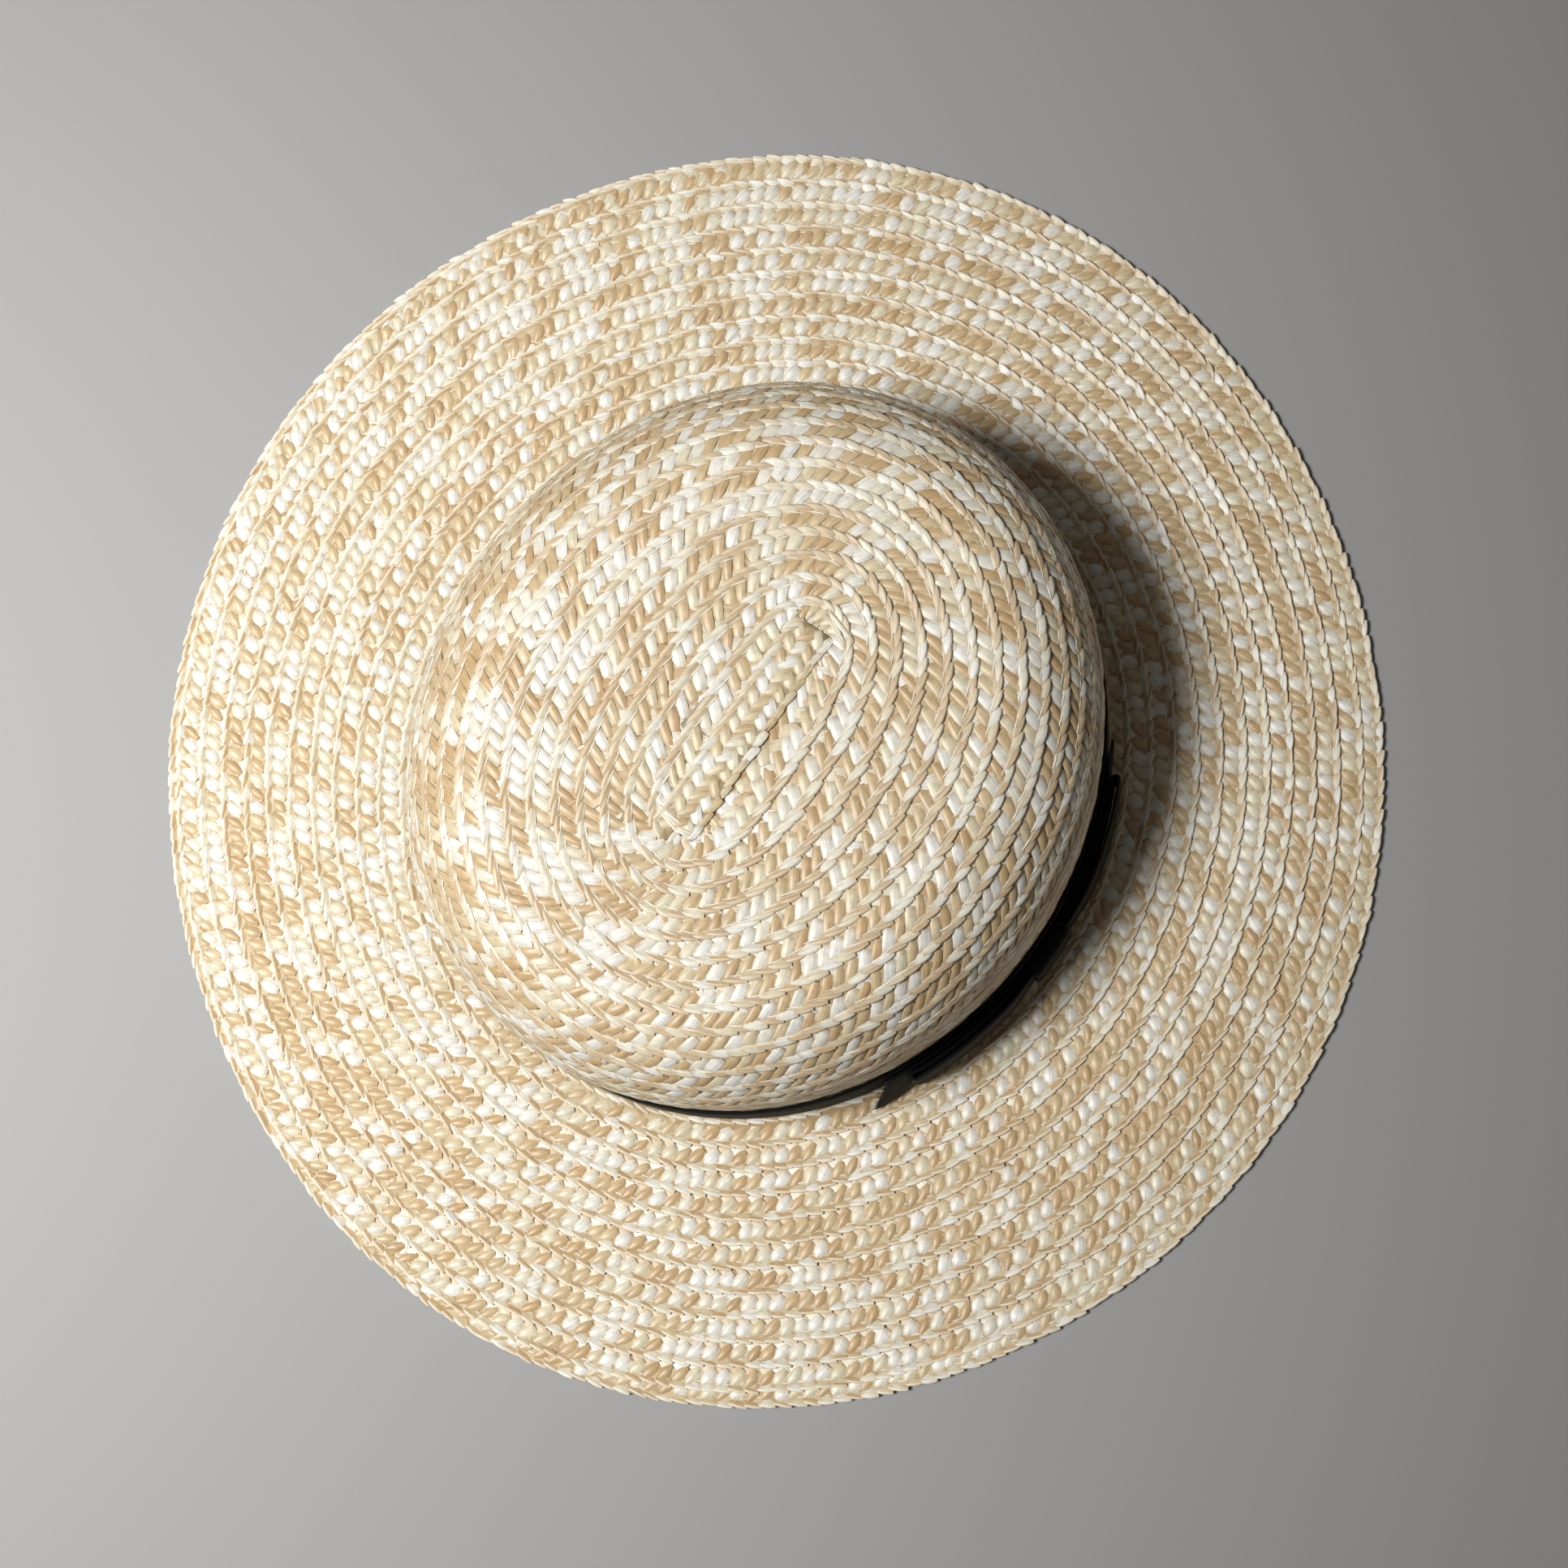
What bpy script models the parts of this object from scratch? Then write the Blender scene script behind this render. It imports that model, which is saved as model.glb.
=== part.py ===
"""Straw boater hat: a crown and a brim of sewn straw plait, a ribbon band and a flat side bow.

X points to the wearer's left, where the bow is, Y to the back of the head and Z up.
The origin lies under the middle of the crown, on the surface that the brim rests on.
"""
import math

import bpy
import numpy as np

# Crown, in metres: the head opening, the height above the floor and the shape of its side
HEAD_HALF_WIDTH = 0.0876
HEAD_HALF_LENGTH = 0.0964
CROWN_HEIGHT = 0.084
CROWN_WALL = 0.0020
WALL_LEAN = 0.0033
SHOULDER_RADIUS = 0.032
TIP_DOME = 0.0015

# The straight core that the plait starts from in the tip, and how the rows round it turn oval:
# the fade is the power by which their straight sides shorten, the corner how sharply they end
CORE_LENGTH = 0.062
CORE_WIDTH = 0.0118
OVAL_FADE = 2.2
CORE_CORNER = 0.25
CORNER_GROWTH = 4.0

# Brim, in metres: the mean radius of its edge and its thickness
BRIM_RADIUS = 0.1711
BRIM_THICKNESS = 0.0022

# Sewn rows of plait: each stands proud at its outer edge, where it laps over the next,
# and the first rows of the tip are a little wider than the last ones
CROWN_ROWS = 22
BRIM_ROWS = 12
ROW_STEP = 0.0006
LAP_WIDTH = 0.0005
ROW_EASE = 0.92

# Ribbon band and bow, in metres
BAND_HEIGHT = 0.025
CLOTH = 0.0010
BOW_HEIGHT = 0.0225
PINCHED_HEIGHT = 0.0165
PINCH_WIDTH = 0.012
KNOT_WIDTH = 0.015
KNOT_ROUND = 0.0016
LOOP_REACH = 0.044
LOOP_PUFF = 0.0012
TAIL_REACH = 0.061
TAIL_SLANT = 0.007
TAIL_FLARE = 0.0028

# Clear space between pieces that touch on the real hat, and inside a pressed fold of ribbon
SEAT_GAP = 0.0003
FOLD_GAP = 0.0006

# Points round the crown and the brim, and rings down the inside of the crown
CROWN_SIDES = 52
BRIM_SIDES = 64
INNER_RINGS = 13

# The brim's edge as sewn by hand: waves round the mean radius
# order: crests round the edge; share: height as a share of the mean radius; crest: degrees from +X
EDGE_WAVES = (
    {"order": 2, "share": 0.0184, "crest": 114.0},
    {"order": 4, "share": 0.0036, "crest": 10.0},
)

# Heights, widths and stand-offs that follow from the sizes above
CROWN_FOOT = BRIM_THICKNESS + SEAT_GAP
WALL_TOP = CROWN_HEIGHT - TIP_DOME - SHOULDER_RADIUS
WALL_TAN = WALL_LEAN / (WALL_TOP - CROWN_FOOT)
TIP_HALF_WIDTH = HEAD_HALF_WIDTH + CROWN_WALL - WALL_LEAN - SHOULDER_RADIUS
SHOULDER_WALK = SHOULDER_RADIUS * math.pi / 2
WALL_WALK = math.hypot(WALL_TOP - CROWN_FOOT, WALL_LEAN)
CROWN_WALK = TIP_HALF_WIDTH + SHOULDER_WALK + WALL_WALK
BAND_FOOT = BRIM_THICKNESS + SEAT_GAP
BAND_MIDDLE = BAND_FOOT + BAND_HEIGHT / 2
BAND_FACE = SEAT_GAP + CLOTH
TAIL_BACK = BAND_FACE + SEAT_GAP
LOOP_BACK = TAIL_BACK + CLOTH + SEAT_GAP
LOOP_FACE = LOOP_BACK + 2 * CLOTH + FOLD_GAP
KNOT_FACE = LOOP_FACE + SEAT_GAP + CLOTH


def empty_scene():
    """Remove whatever objects the scene starts with."""
    for thing in list(bpy.data.objects):
        bpy.data.objects.remove(thing, do_unlink=True)


def finish(name, colour, roughness):
    """A plain material with a base colour and a roughness."""
    material = bpy.data.materials.new(name)
    material.use_nodes = True
    shader = material.node_tree.nodes["Principled BSDF"]
    shader.inputs["Base Color"].default_value = (*colour, 1.0)
    shader.inputs["Roughness"].default_value = roughness
    shader.inputs["Metallic"].default_value = 0.0
    return material


def add_object(name, points, faces, material, collection):
    """Put a mesh of the given points and faces in the collection as one smooth-shaded object."""
    mesh = bpy.data.meshes.new(name)
    mesh.from_pydata([tuple(point) for point in points], [], faces)
    mesh.shade_smooth()
    mesh.set_sharp_from_angle(angle=math.radians(40))
    mesh.materials.append(material)
    thing = bpy.data.objects.new(name, mesh)
    collection.objects.link(thing)
    return thing


def loft(name, rings, material, collection, closed=False):
    """Skin a list of rings, each a closed line of as many points, run so that the skin faces out.

    The ends are closed with a flat face each, or the last ring is joined to the first.
    """
    sides = len(rings[0])
    spans = len(rings) if closed else len(rings) - 1
    faces = []
    for span in range(spans):
        here = span * sides
        there = (span + 1) % len(rings) * sides
        for side in range(sides):
            after = (side + 1) % sides
            faces.append((here + side, there + side, there + after, here + after))
    if not closed:
        last = (len(rings) - 1) * sides
        faces.append(tuple(range(sides)))
        faces.append(tuple(range(last + sides - 1, last - 1, -1)))
    return add_object(name, np.concatenate(rings), faces, material, collection)


def cloth(name, grid, material, collection, closed=False, outward=False):
    """A length of ribbon from a grid of points, across by along, as an open sheet with Solidify.

    The thickness goes outward from the sheet, or inward where the sheet is the outer face.
    """
    length, width = grid.shape[:2]
    spans = length if closed else length - 1
    faces = []
    for span in range(spans):
        here = span * width
        there = (span + 1) % length * width
        for step in range(width - 1):
            faces.append((here + step, there + step, there + step + 1, here + step + 1))
    thing = add_object(name, grid.reshape(-1, 3), faces, material, collection)
    wall = thing.modifiers.new("Thickness", "SOLIDIFY")
    wall.thickness = CLOTH
    wall.offset = 1.0 if outward else -1.0
    wall.use_even_offset = True
    return thing


def crown_side(walk):
    """Half width, height and outward direction of the crown's side, walked from the tip's middle.

    The walk crosses the slightly domed tip, rounds the shoulder on a quarter circle
    and goes down the leaning wall.
    """
    if walk <= TIP_HALF_WIDTH:
        drop = TIP_DOME * (walk / TIP_HALF_WIDTH) ** 2
        return walk, CROWN_HEIGHT - drop, 0.0, 1.0
    turn = (walk - TIP_HALF_WIDTH) / SHOULDER_RADIUS
    if turn <= math.pi / 2:
        out, up = math.sin(turn), math.cos(turn)
        return TIP_HALF_WIDTH + SHOULDER_RADIUS * out, WALL_TOP + SHOULDER_RADIUS * up, out, up
    share = (walk - TIP_HALF_WIDTH - SHOULDER_WALK) / WALL_WALK
    height = WALL_TOP - share * (WALL_TOP - CROWN_FOOT)
    return wall_half_width(height), height, 1.0, WALL_TAN


def wall_half_width(height):
    """Outer half width of the crown's wall at a height, wider towards the foot."""
    return TIP_HALF_WIDTH + SHOULDER_RADIUS + (WALL_TOP - height) * WALL_TAN


def wall_oval(height, stand, angles):
    """Plan of points on the wall at their heights and stand-offs, matching the rows there."""
    share = (WALL_TOP - height) / (WALL_TOP - CROWN_FOOT)
    walk = TIP_HALF_WIDTH + SHOULDER_WALK + share * WALL_WALK
    return oval(wall_half_width(height) + stand, walk, angles)


def oval(half_width, walk, angles):
    """Plan of a row at a distance walked from the tip's middle: a circle stretched along Y.

    In the tip the stretch is a straight side as long as the core's. It shortens by a power of the
    way left to the foot, and its ends soften, until the row is the head's ellipse.
    """
    start = CORE_WIDTH / 2
    left = np.clip(1 - (walk - start) / (CROWN_WALK - start), 0.0, 1.0)
    head = HEAD_HALF_LENGTH - HEAD_HALF_WIDTH
    stretch = head + ((CORE_LENGTH - CORE_WIDTH) / 2 - head) * left**OVAL_FADE
    soft = CORE_CORNER + CORNER_GROWTH * (1 - left)
    rise = np.sin(angles)
    side = rise * np.sqrt(1 + soft**2) / np.sqrt(rise**2 + soft**2)
    return np.column_stack((half_width * np.cos(angles), half_width * rise + stretch * side))


def ring_at(plan, height):
    """A flat ring of points from its plan and its height."""
    return np.column_stack((plan, np.full(len(plan), height)))


def crown_ring(walk, lift):
    """One ring of the crown, lifted off its outer face along the outward direction."""
    angles = np.linspace(0, 2 * np.pi, CROWN_SIDES, endpoint=False)
    half_width, height, out, up = crown_side(walk)
    return ring_at(oval(half_width + lift * out, walk, angles), height + lift * up)


def make_crown(material, collection):
    """The crown: rows of plait from the core to the foot outside, and a smooth hollow inside."""
    start = CORE_WIDTH / 2
    length = CROWN_WALK - start
    edges = [start + length * (row / CROWN_ROWS) ** ROW_EASE for row in range(CROWN_ROWS + 1)]
    rings = [crown_ring(start, 0.0)]
    for inner, outer in zip(edges[:-1], edges[1:]):
        rings.append(crown_ring(inner + LAP_WIDTH, -ROW_STEP))
        rings.append(crown_ring(outer, 0.0))
    angles = np.linspace(0, 2 * np.pi, CROWN_SIDES, endpoint=False)
    rings.append(ring_at(oval(HEAD_HALF_WIDTH, CROWN_WALK, angles), CROWN_FOOT))
    for way in np.linspace(1, 0, INNER_RINGS)[1:]:
        rings.append(crown_ring(start + length * way, -CROWN_WALL))
    return loft("crown", rings, material, collection)


def brim_edge(directions):
    """Radius of the brim's edge in each direction, with the waves of the hand-sewn outline."""
    radius = np.full(len(directions), BRIM_RADIUS)
    for wave in EDGE_WAVES:
        crest = math.radians(wave["crest"])
        radius += BRIM_RADIUS * wave["share"] * np.cos(wave["order"] * (directions - crest))
    return radius


def make_brim(material, collection):
    """The brim: flat below, in rows above, from the crown's inner face out to the wavy edge."""
    angles = np.linspace(0, 2 * np.pi, BRIM_SIDES, endpoint=False)
    mouth = oval(HEAD_HALF_WIDTH, CROWN_WALK, angles)
    wall = oval(HEAD_HALF_WIDTH + CROWN_WALL, CROWN_WALK, angles)
    directions = np.arctan2(wall[:, 1], wall[:, 0])
    edge = np.column_stack((np.cos(directions), np.sin(directions))) * brim_edge(directions)[:, None]
    mean_width = BRIM_RADIUS - HEAD_HALF_WIDTH
    lap = LAP_WIDTH / mean_width
    rings = [ring_at(mouth, 0.0), ring_at(mouth, BRIM_THICKNESS)]
    for row in range(BRIM_ROWS):
        inner, outer = row / BRIM_ROWS, (row + 1) / BRIM_ROWS
        if row > 0:
            rings.append(ring_at(wall + (edge - wall) * (inner + lap), BRIM_THICKNESS - ROW_STEP))
        rings.append(ring_at(wall + (edge - wall) * outer, BRIM_THICKNESS))
    rings.append(ring_at(edge, 0.0))
    return loft("brim", rings, material, collection, closed=True)


def band_angles(along):
    """Angles round the oval at distances along the band's face, from +X towards +Y."""
    angles = np.linspace(-np.pi, np.pi, 1441)
    plan = wall_oval(BAND_MIDDLE, BAND_FACE, angles)
    steps = np.hypot(*np.diff(plan, axis=0).T)
    walked = np.concatenate(([0.0], np.cumsum(steps)))
    middle = np.interp(0.0, angles, walked)
    return np.interp(along, walked - middle, angles)


def on_band(along, height, stand):
    """Points at distances along the band, heights and stand-offs from the crown's wall."""
    along, height, stand = np.broadcast_arrays(along, height, stand)
    plan = wall_oval(height.ravel(), stand.ravel(), band_angles(along.ravel()))
    return np.column_stack((plan, height.ravel())).reshape(*along.shape, 3)


def bow_half_height(along):
    """Half the ribbon's height along the bow: gathered under the knot, full beyond it."""
    way = np.clip((np.abs(along) - KNOT_WIDTH / 2) / PINCH_WIDTH, 0.0, 1.0)
    full = way * way * (3 - 2 * way)
    return (PINCHED_HEIGHT + (BOW_HEIGHT - PINCHED_HEIGHT) * full) / 2


def make_band(material, collection):
    """The band: ribbon laid round the foot of the crown's wall."""
    angles = np.linspace(0, 2 * np.pi, BRIM_SIDES, endpoint=False)[:, None]
    heights = BAND_FOOT + BAND_HEIGHT * np.linspace(0, 1, 3)[None, :]
    angles, heights = np.broadcast_arrays(angles, heights)
    plan = wall_oval(heights.ravel(), SEAT_GAP, angles.ravel())
    grid = np.column_stack((plan, heights.ravel())).reshape(*heights.shape, 3)
    return cloth("hat_band", grid, material, collection, closed=True, outward=True)


def make_tails(material, collection):
    """The tails: one length flat on the band, its cut ends slanting and its lower edge standing off."""
    way = np.linspace(-1, 1, 31)[:, None]
    across = np.linspace(0, 1, 3)[None, :]
    along = way * (TAIL_REACH - TAIL_SLANT * across)
    height = BAND_MIDDLE + bow_half_height(along) * (2 * across - 1)
    loose = np.clip((np.abs(along) - LOOP_REACH) / (TAIL_REACH - LOOP_REACH), 0.0, 1.0)
    stand = TAIL_BACK + TAIL_FLARE * loose**1.5 * (1 - across)
    return cloth("bow_tails", on_band(along, height, stand), material, collection, outward=True)


def make_loops(material, collection):
    """The loops: a closed length pressed flat, folded at both ends and gathered in the middle."""
    fold = (LOOP_FACE - LOOP_BACK) / 2
    straight = LOOP_REACH - fold
    run = straight * np.linspace(-1, 1, 23)
    free = np.clip((np.abs(run) - KNOT_WIDTH / 2) / (straight - KNOT_WIDTH / 2), 0.0, 1.0)
    turn = np.linspace(np.pi / 2, -np.pi / 2, 6)[1:-1]
    middle = (LOOP_FACE + LOOP_BACK) / 2
    along = np.concatenate(
        (run, straight + fold * np.cos(turn), run[::-1], -straight - fold * np.cos(turn[::-1]))
    )
    stand = np.concatenate(
        (
            LOOP_FACE + LOOP_PUFF * np.sin(np.pi * free) ** 2,
            middle + fold * np.sin(turn),
            np.full(len(run), LOOP_BACK),
            middle + fold * np.sin(turn[::-1]),
        )
    )
    across = np.linspace(-1, 1, 3)[None, :]
    height = BAND_MIDDLE + bow_half_height(along)[:, None] * across
    grid = on_band(along[:, None], height, stand[:, None])
    return cloth("bow_loops", grid, material, collection, closed=True)


def make_knot(material, collection):
    """The knot: a short length over the gathered middle, turned in above and below to the band."""
    half = PINCHED_HEIGHT / 2 + SEAT_GAP + CLOTH
    turn = np.linspace(0, np.pi / 2, 5)
    rise = half - KNOT_ROUND + KNOT_ROUND * np.sin(turn)
    stand = KNOT_FACE - KNOT_ROUND + KNOT_ROUND * np.cos(turn)
    upper_height = np.concatenate((rise, [half]))
    upper_stand = np.concatenate((stand, [TAIL_BACK]))
    height = BAND_MIDDLE + np.concatenate((-upper_height[::-1], upper_height))
    stand = np.concatenate((upper_stand[::-1], upper_stand))
    along = KNOT_WIDTH / 2 * np.linspace(-1, 1, 5)
    grid = on_band(along[:, None], height[None, :], stand[None, :])
    return cloth("bow_knot", grid, material, collection)


def build_hat():
    """Make the whole hat in its own collection."""
    empty_scene()
    collection = bpy.data.collections.new("straw_boater_hat")
    bpy.context.scene.collection.children.link(collection)
    make_crown(finish("crown_straw", (0.78, 0.62, 0.38), 0.55), collection)
    make_brim(finish("brim_straw", (0.76, 0.59, 0.35), 0.55), collection)
    make_band(finish("band_ribbon", (0.012, 0.012, 0.014), 0.80), collection)
    make_tails(finish("tail_ribbon", (0.012, 0.012, 0.014), 0.80), collection)
    make_loops(finish("loop_ribbon", (0.014, 0.014, 0.016), 0.80), collection)
    make_knot(finish("knot_ribbon", (0.013, 0.013, 0.015), 0.80), collection)


build_hat()
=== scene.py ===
"""Looks of the straw boater hat: sewn plait of wheat straw, a ribbed ribbon band and a flat bow.

Metres, +Z up, +X towards the bow, +Y to the back of the head, the origin under the crown's middle.
"""
import math

import bpy
import numpy as np
from mathutils import Matrix, Vector


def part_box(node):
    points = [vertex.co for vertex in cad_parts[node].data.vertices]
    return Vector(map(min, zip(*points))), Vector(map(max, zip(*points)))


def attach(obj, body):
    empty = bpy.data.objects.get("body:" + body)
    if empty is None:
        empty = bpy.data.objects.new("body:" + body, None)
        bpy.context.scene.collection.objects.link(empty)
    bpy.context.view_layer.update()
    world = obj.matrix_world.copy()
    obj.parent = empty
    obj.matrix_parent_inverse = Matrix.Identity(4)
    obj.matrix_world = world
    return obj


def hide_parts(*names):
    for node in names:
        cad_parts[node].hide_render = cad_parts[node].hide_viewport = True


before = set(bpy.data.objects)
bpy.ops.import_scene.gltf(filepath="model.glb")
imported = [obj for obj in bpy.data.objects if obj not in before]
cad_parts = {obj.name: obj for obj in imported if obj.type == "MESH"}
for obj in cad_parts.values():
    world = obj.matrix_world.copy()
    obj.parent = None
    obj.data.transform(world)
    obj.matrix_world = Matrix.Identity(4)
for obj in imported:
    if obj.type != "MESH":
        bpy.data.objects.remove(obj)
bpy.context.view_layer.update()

# The ground of the hat: the middle of the plait, where straw lies pressed on straw between the outer and the
# inner face. It is wheat straw in the dark, painted a dark brown as shade, and shows only in the gaps.
crown_low, crown_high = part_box("crown")
CROWN_WALL = 0.0020
BRIM_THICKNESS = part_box("brim")[1].z
CROWN_HEIGHT = crown_high.z
CROWN_FOOT = crown_low.z
HEAD_HALF_WIDTH = crown_high.x - CROWN_WALL
HEAD_HALF_LENGTH = crown_high.y - CROWN_WALL
WALL_LEAN = 0.0033
SHOULDER_RADIUS = 0.032
TIP_DOME = 0.0015
CORE_LENGTH = 0.062
CORE_HALF_WIDTH = 0.0059
OVAL_FADE = 2.2
CORE_CORNER = 0.25
CORNER_GROWTH = 4.0
BRIM_RADIUS = 0.1711
# order: crests round the brim's edge; share: height as a share of the radius; crest: degrees from +X
EDGE_WAVES = (
    {"order": 2, "share": 0.0184, "crest": 114.0},
    {"order": 4, "share": 0.0036, "crest": 10.0},
)
WALL_TOP = CROWN_HEIGHT - TIP_DOME - SHOULDER_RADIUS
TIP_HALF_WIDTH = HEAD_HALF_WIDTH + CROWN_WALL - WALL_LEAN - SHOULDER_RADIUS
SHOULDER_WALK = SHOULDER_RADIUS * math.pi / 2
WALL_WALK = math.hypot(WALL_TOP - CROWN_FOOT, WALL_LEAN)
CROWN_WALK = TIP_HALF_WIDTH + SHOULDER_WALK + WALL_WALK
BRIM_WIDTH = BRIM_RADIUS - HEAD_HALF_WIDTH - CROWN_WALL
GROUND_TOP = -0.00125
GROUND_BOTTOM = -0.00142
# Dark brown of the ground: painted shade
GROUND_SHADE_COLOUR = (0.46, 0.32, 0.16, 1.0)
GROUND_SIDES = 144
GROUND_START = 0.0006
GROUND_INSET = 0.0016


def crown_profile(walk):
    """Half width, height and outward direction at distances walked from the middle of the tip.

    A shallow bowl over the tip, a quarter circle round the shoulder, a leaning line down the wall.
    """
    over_tip = np.minimum(walk, TIP_HALF_WIDTH)
    turn = np.clip((walk - TIP_HALF_WIDTH) / SHOULDER_RADIUS, 0.0, np.pi / 2)
    down = np.clip(walk - TIP_HALF_WIDTH - SHOULDER_WALK, 0.0, WALL_WALK) / WALL_WALK
    half_width = over_tip + SHOULDER_RADIUS * np.sin(turn) + WALL_LEAN * down
    dome = TIP_DOME * (1 - (over_tip / TIP_HALF_WIDTH) ** 2)
    height = WALL_TOP + SHOULDER_RADIUS * np.cos(turn) + dome - (WALL_TOP - CROWN_FOOT) * down
    return half_width, height, np.sin(turn), np.cos(turn)


def head_oval(half_width, walk, angle):
    """Plan of a row: a circle stretched along Y, from the straight core to the head's ellipse.

    The stretch shortens by a power of the way left to the foot, and the corners soften.
    """
    left = np.clip(1 - (walk - CORE_HALF_WIDTH) / (CROWN_WALK - CORE_HALF_WIDTH), 0.0, 1.0)
    head = HEAD_HALF_LENGTH - HEAD_HALF_WIDTH
    stretch = head + (CORE_LENGTH / 2 - CORE_HALF_WIDTH - head) * left**OVAL_FADE
    soft = CORE_CORNER + CORNER_GROWTH * (1 - left)
    rise = np.sin(angle)
    side = rise * np.sqrt(1 + soft**2) / np.sqrt(rise**2 + soft**2)
    return half_width * np.cos(angle), half_width * rise + stretch * side


def hat_face(walk, angle, lift):
    """Points on the hat's outer face: walked from the tip's middle over the crown and on over the brim.

    The crown is its profile carried round the ovals, the brim a straight mix of the crown's foot
    and the wavy edge. The lift is a distance off the face, outward on the crown, up on the brim.
    """
    walk, angle, lift = np.broadcast_arrays(walk, angle, lift)
    on_crown = np.minimum(walk, CROWN_WALK)
    half_width, height, out, up = crown_profile(on_crown)
    x, y = head_oval(half_width + lift * out, on_crown, angle)
    foot_x, foot_y = head_oval(HEAD_HALF_WIDTH + CROWN_WALL, CROWN_WALK, angle)
    direction = np.arctan2(foot_y, foot_x)
    waves = [
        wave["share"] * np.cos(wave["order"] * (direction - math.radians(wave["crest"])))
        for wave in EDGE_WAVES
    ]
    radius = BRIM_RADIUS * (1 + sum(waves))
    share = (walk - CROWN_WALK) / BRIM_WIDTH
    brim_x = foot_x + (radius * np.cos(direction) - foot_x) * share
    brim_y = foot_y + (radius * np.sin(direction) - foot_y) * share
    flat = walk > CROWN_WALK
    return np.stack(
        (
            np.where(flat, brim_x, x),
            np.where(flat, brim_y, y),
            np.where(flat, BRIM_THICKNESS + lift, height + lift * up),
        ),
        axis=-1,
    )


def mesh_piece(name, points, corners, sizes, material, smooth=True):
    """An object from a list of points and of faces, each face a run of corners of a given size."""
    mesh = bpy.data.meshes.new(name)
    mesh.vertices.add(len(points))
    mesh.vertices.foreach_set("co", np.asarray(points, np.float32).ravel())
    mesh.loops.add(len(corners))
    mesh.loops.foreach_set("vertex_index", np.asarray(corners, np.int32))
    mesh.polygons.add(len(sizes))
    starts = np.concatenate(([0], np.cumsum(sizes)[:-1]))
    mesh.polygons.foreach_set("loop_start", starts.astype(np.int32))
    mesh.polygons.foreach_set("loop_total", np.asarray(sizes, np.int32))
    mesh.update(calc_edges=True)
    mesh.validate()
    if smooth:
        mesh.shade_smooth()
    mesh.materials.append(material)
    piece = bpy.data.objects.new(name, mesh)
    bpy.context.scene.collection.objects.link(piece)
    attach(piece, "root")
    return piece


def skin_rings(rings, closed=False):
    """Faces between rings of as many points: a flat cap at each end, or the last joined to the first."""
    count, sides = rings.shape[:2]
    ring = np.arange(count if closed else count - 1)[:, None]
    side = np.arange(sides)[None, :]
    here, there = ring * sides, (ring + 1) % count * sides
    after = (side + 1) % sides
    quads = np.stack((here + side, there + side, there + after, here + after), axis=-1)
    corners, sizes = [quads.ravel()], [np.full(quads.shape[0] * quads.shape[1], 4)]
    if not closed:
        last = (count - 1) * sides
        corners += [np.arange(sides), np.arange(last + sides - 1, last - 1, -1)]
        sizes.append(np.array([sides, sides]))
    return np.concatenate(corners), np.concatenate(sizes)


def plain_finish(name, colour, roughness):
    """A material of one colour and roughness."""
    material = bpy.data.materials.new(name)
    material.use_nodes = True
    shader = material.node_tree.nodes["Principled BSDF"]
    shader.inputs["Base Color"].default_value = colour
    shader.inputs["Roughness"].default_value = roughness
    return material


GROUND_ANGLES = np.linspace(0, 2 * np.pi, GROUND_SIDES, endpoint=False)
ground_walks = np.concatenate(
    (
        np.linspace(GROUND_START, TIP_HALF_WIDTH, 12),
        TIP_HALF_WIDTH + SHOULDER_WALK * np.linspace(0, 1, 13)[1:],
        CROWN_WALK - WALL_WALK * np.linspace(1, 0, 7)[1:],
        CROWN_WALK + (BRIM_WIDTH - GROUND_INSET) * np.linspace(0, 1, 14)[1:],
    )
)
ground_rings = np.concatenate(
    (
        hat_face(ground_walks[:, None], GROUND_ANGLES[None, :], GROUND_TOP),
        hat_face(ground_walks[::-1, None], GROUND_ANGLES[None, :], GROUND_BOTTOM),
    )
)
ground_straw = plain_finish("shaded_straw", GROUND_SHADE_COLOUR, 0.8)
ground = mesh_piece("plait_ground", ground_rings.reshape(-1, 3), *skin_rings(ground_rings), ground_straw)
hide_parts("crown", "brim")

# The outer face of the plait: seven flattened straws, plaited into a strip a finger wide and sewn
# in one long spiral from the core of the tip to the edge of the brim, each turn lapped over the
# next. Of each strip the folded edge, the long floats and a glimpse of the crossing straws show.
CROWN_ROWS = 22
BRIM_ROWS = 12
ROW_EASE = 0.92
START_ROW = 0.5
CROWN_TURNS = CROWN_ROWS - START_ROW
BRIM_TURNS = BRIM_ROWS + 0.93
START_ANGLE = -math.pi / 2
STITCH = 0.0040
STRANDS = 7
LAP_DROP = 0.00055
LAP_RUN = 0.0070
STEPS_A_TURN = 720
# One column of straws along the strip: how far its middle lies in from the strip's edge, the straw's
# length and width, its slant from the strip's line, its level, the rise of its middle, the dip of its
# ends and how one side lies over the next straw, in mm and degrees; how far its ends taper; the strand
# that it shows; how golden it leans; its rows, and its shape across
CROWN_COLUMNS = (
    {"middle": 1.25, "length": 5.8, "width": 2.50, "slant": 13, "level": -0.30, "rise": 0.50, "dip": 0.18,
     "tilt": 0.0, "taper": 0.42, "strand": 6, "lean": 0.10, "rows": 5, "shape": "rim"},
    {"middle": 4.05, "length": 6.0, "width": 3.05, "slant": -46, "level": -0.26, "rise": 0.24, "dip": 0.20,
     "tilt": 0.11, "taper": 0.10, "strand": 0, "lean": 0.0, "rows": 5, "shape": "flat"},
    {"middle": 6.20, "length": 6.2, "width": 3.10, "slant": 46, "level": -0.36, "rise": 0.20, "dip": 0.14,
     "tilt": 0.10, "taper": 0.08, "strand": 5, "lean": 0.05, "rows": 4, "shape": "plain"},
)
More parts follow.
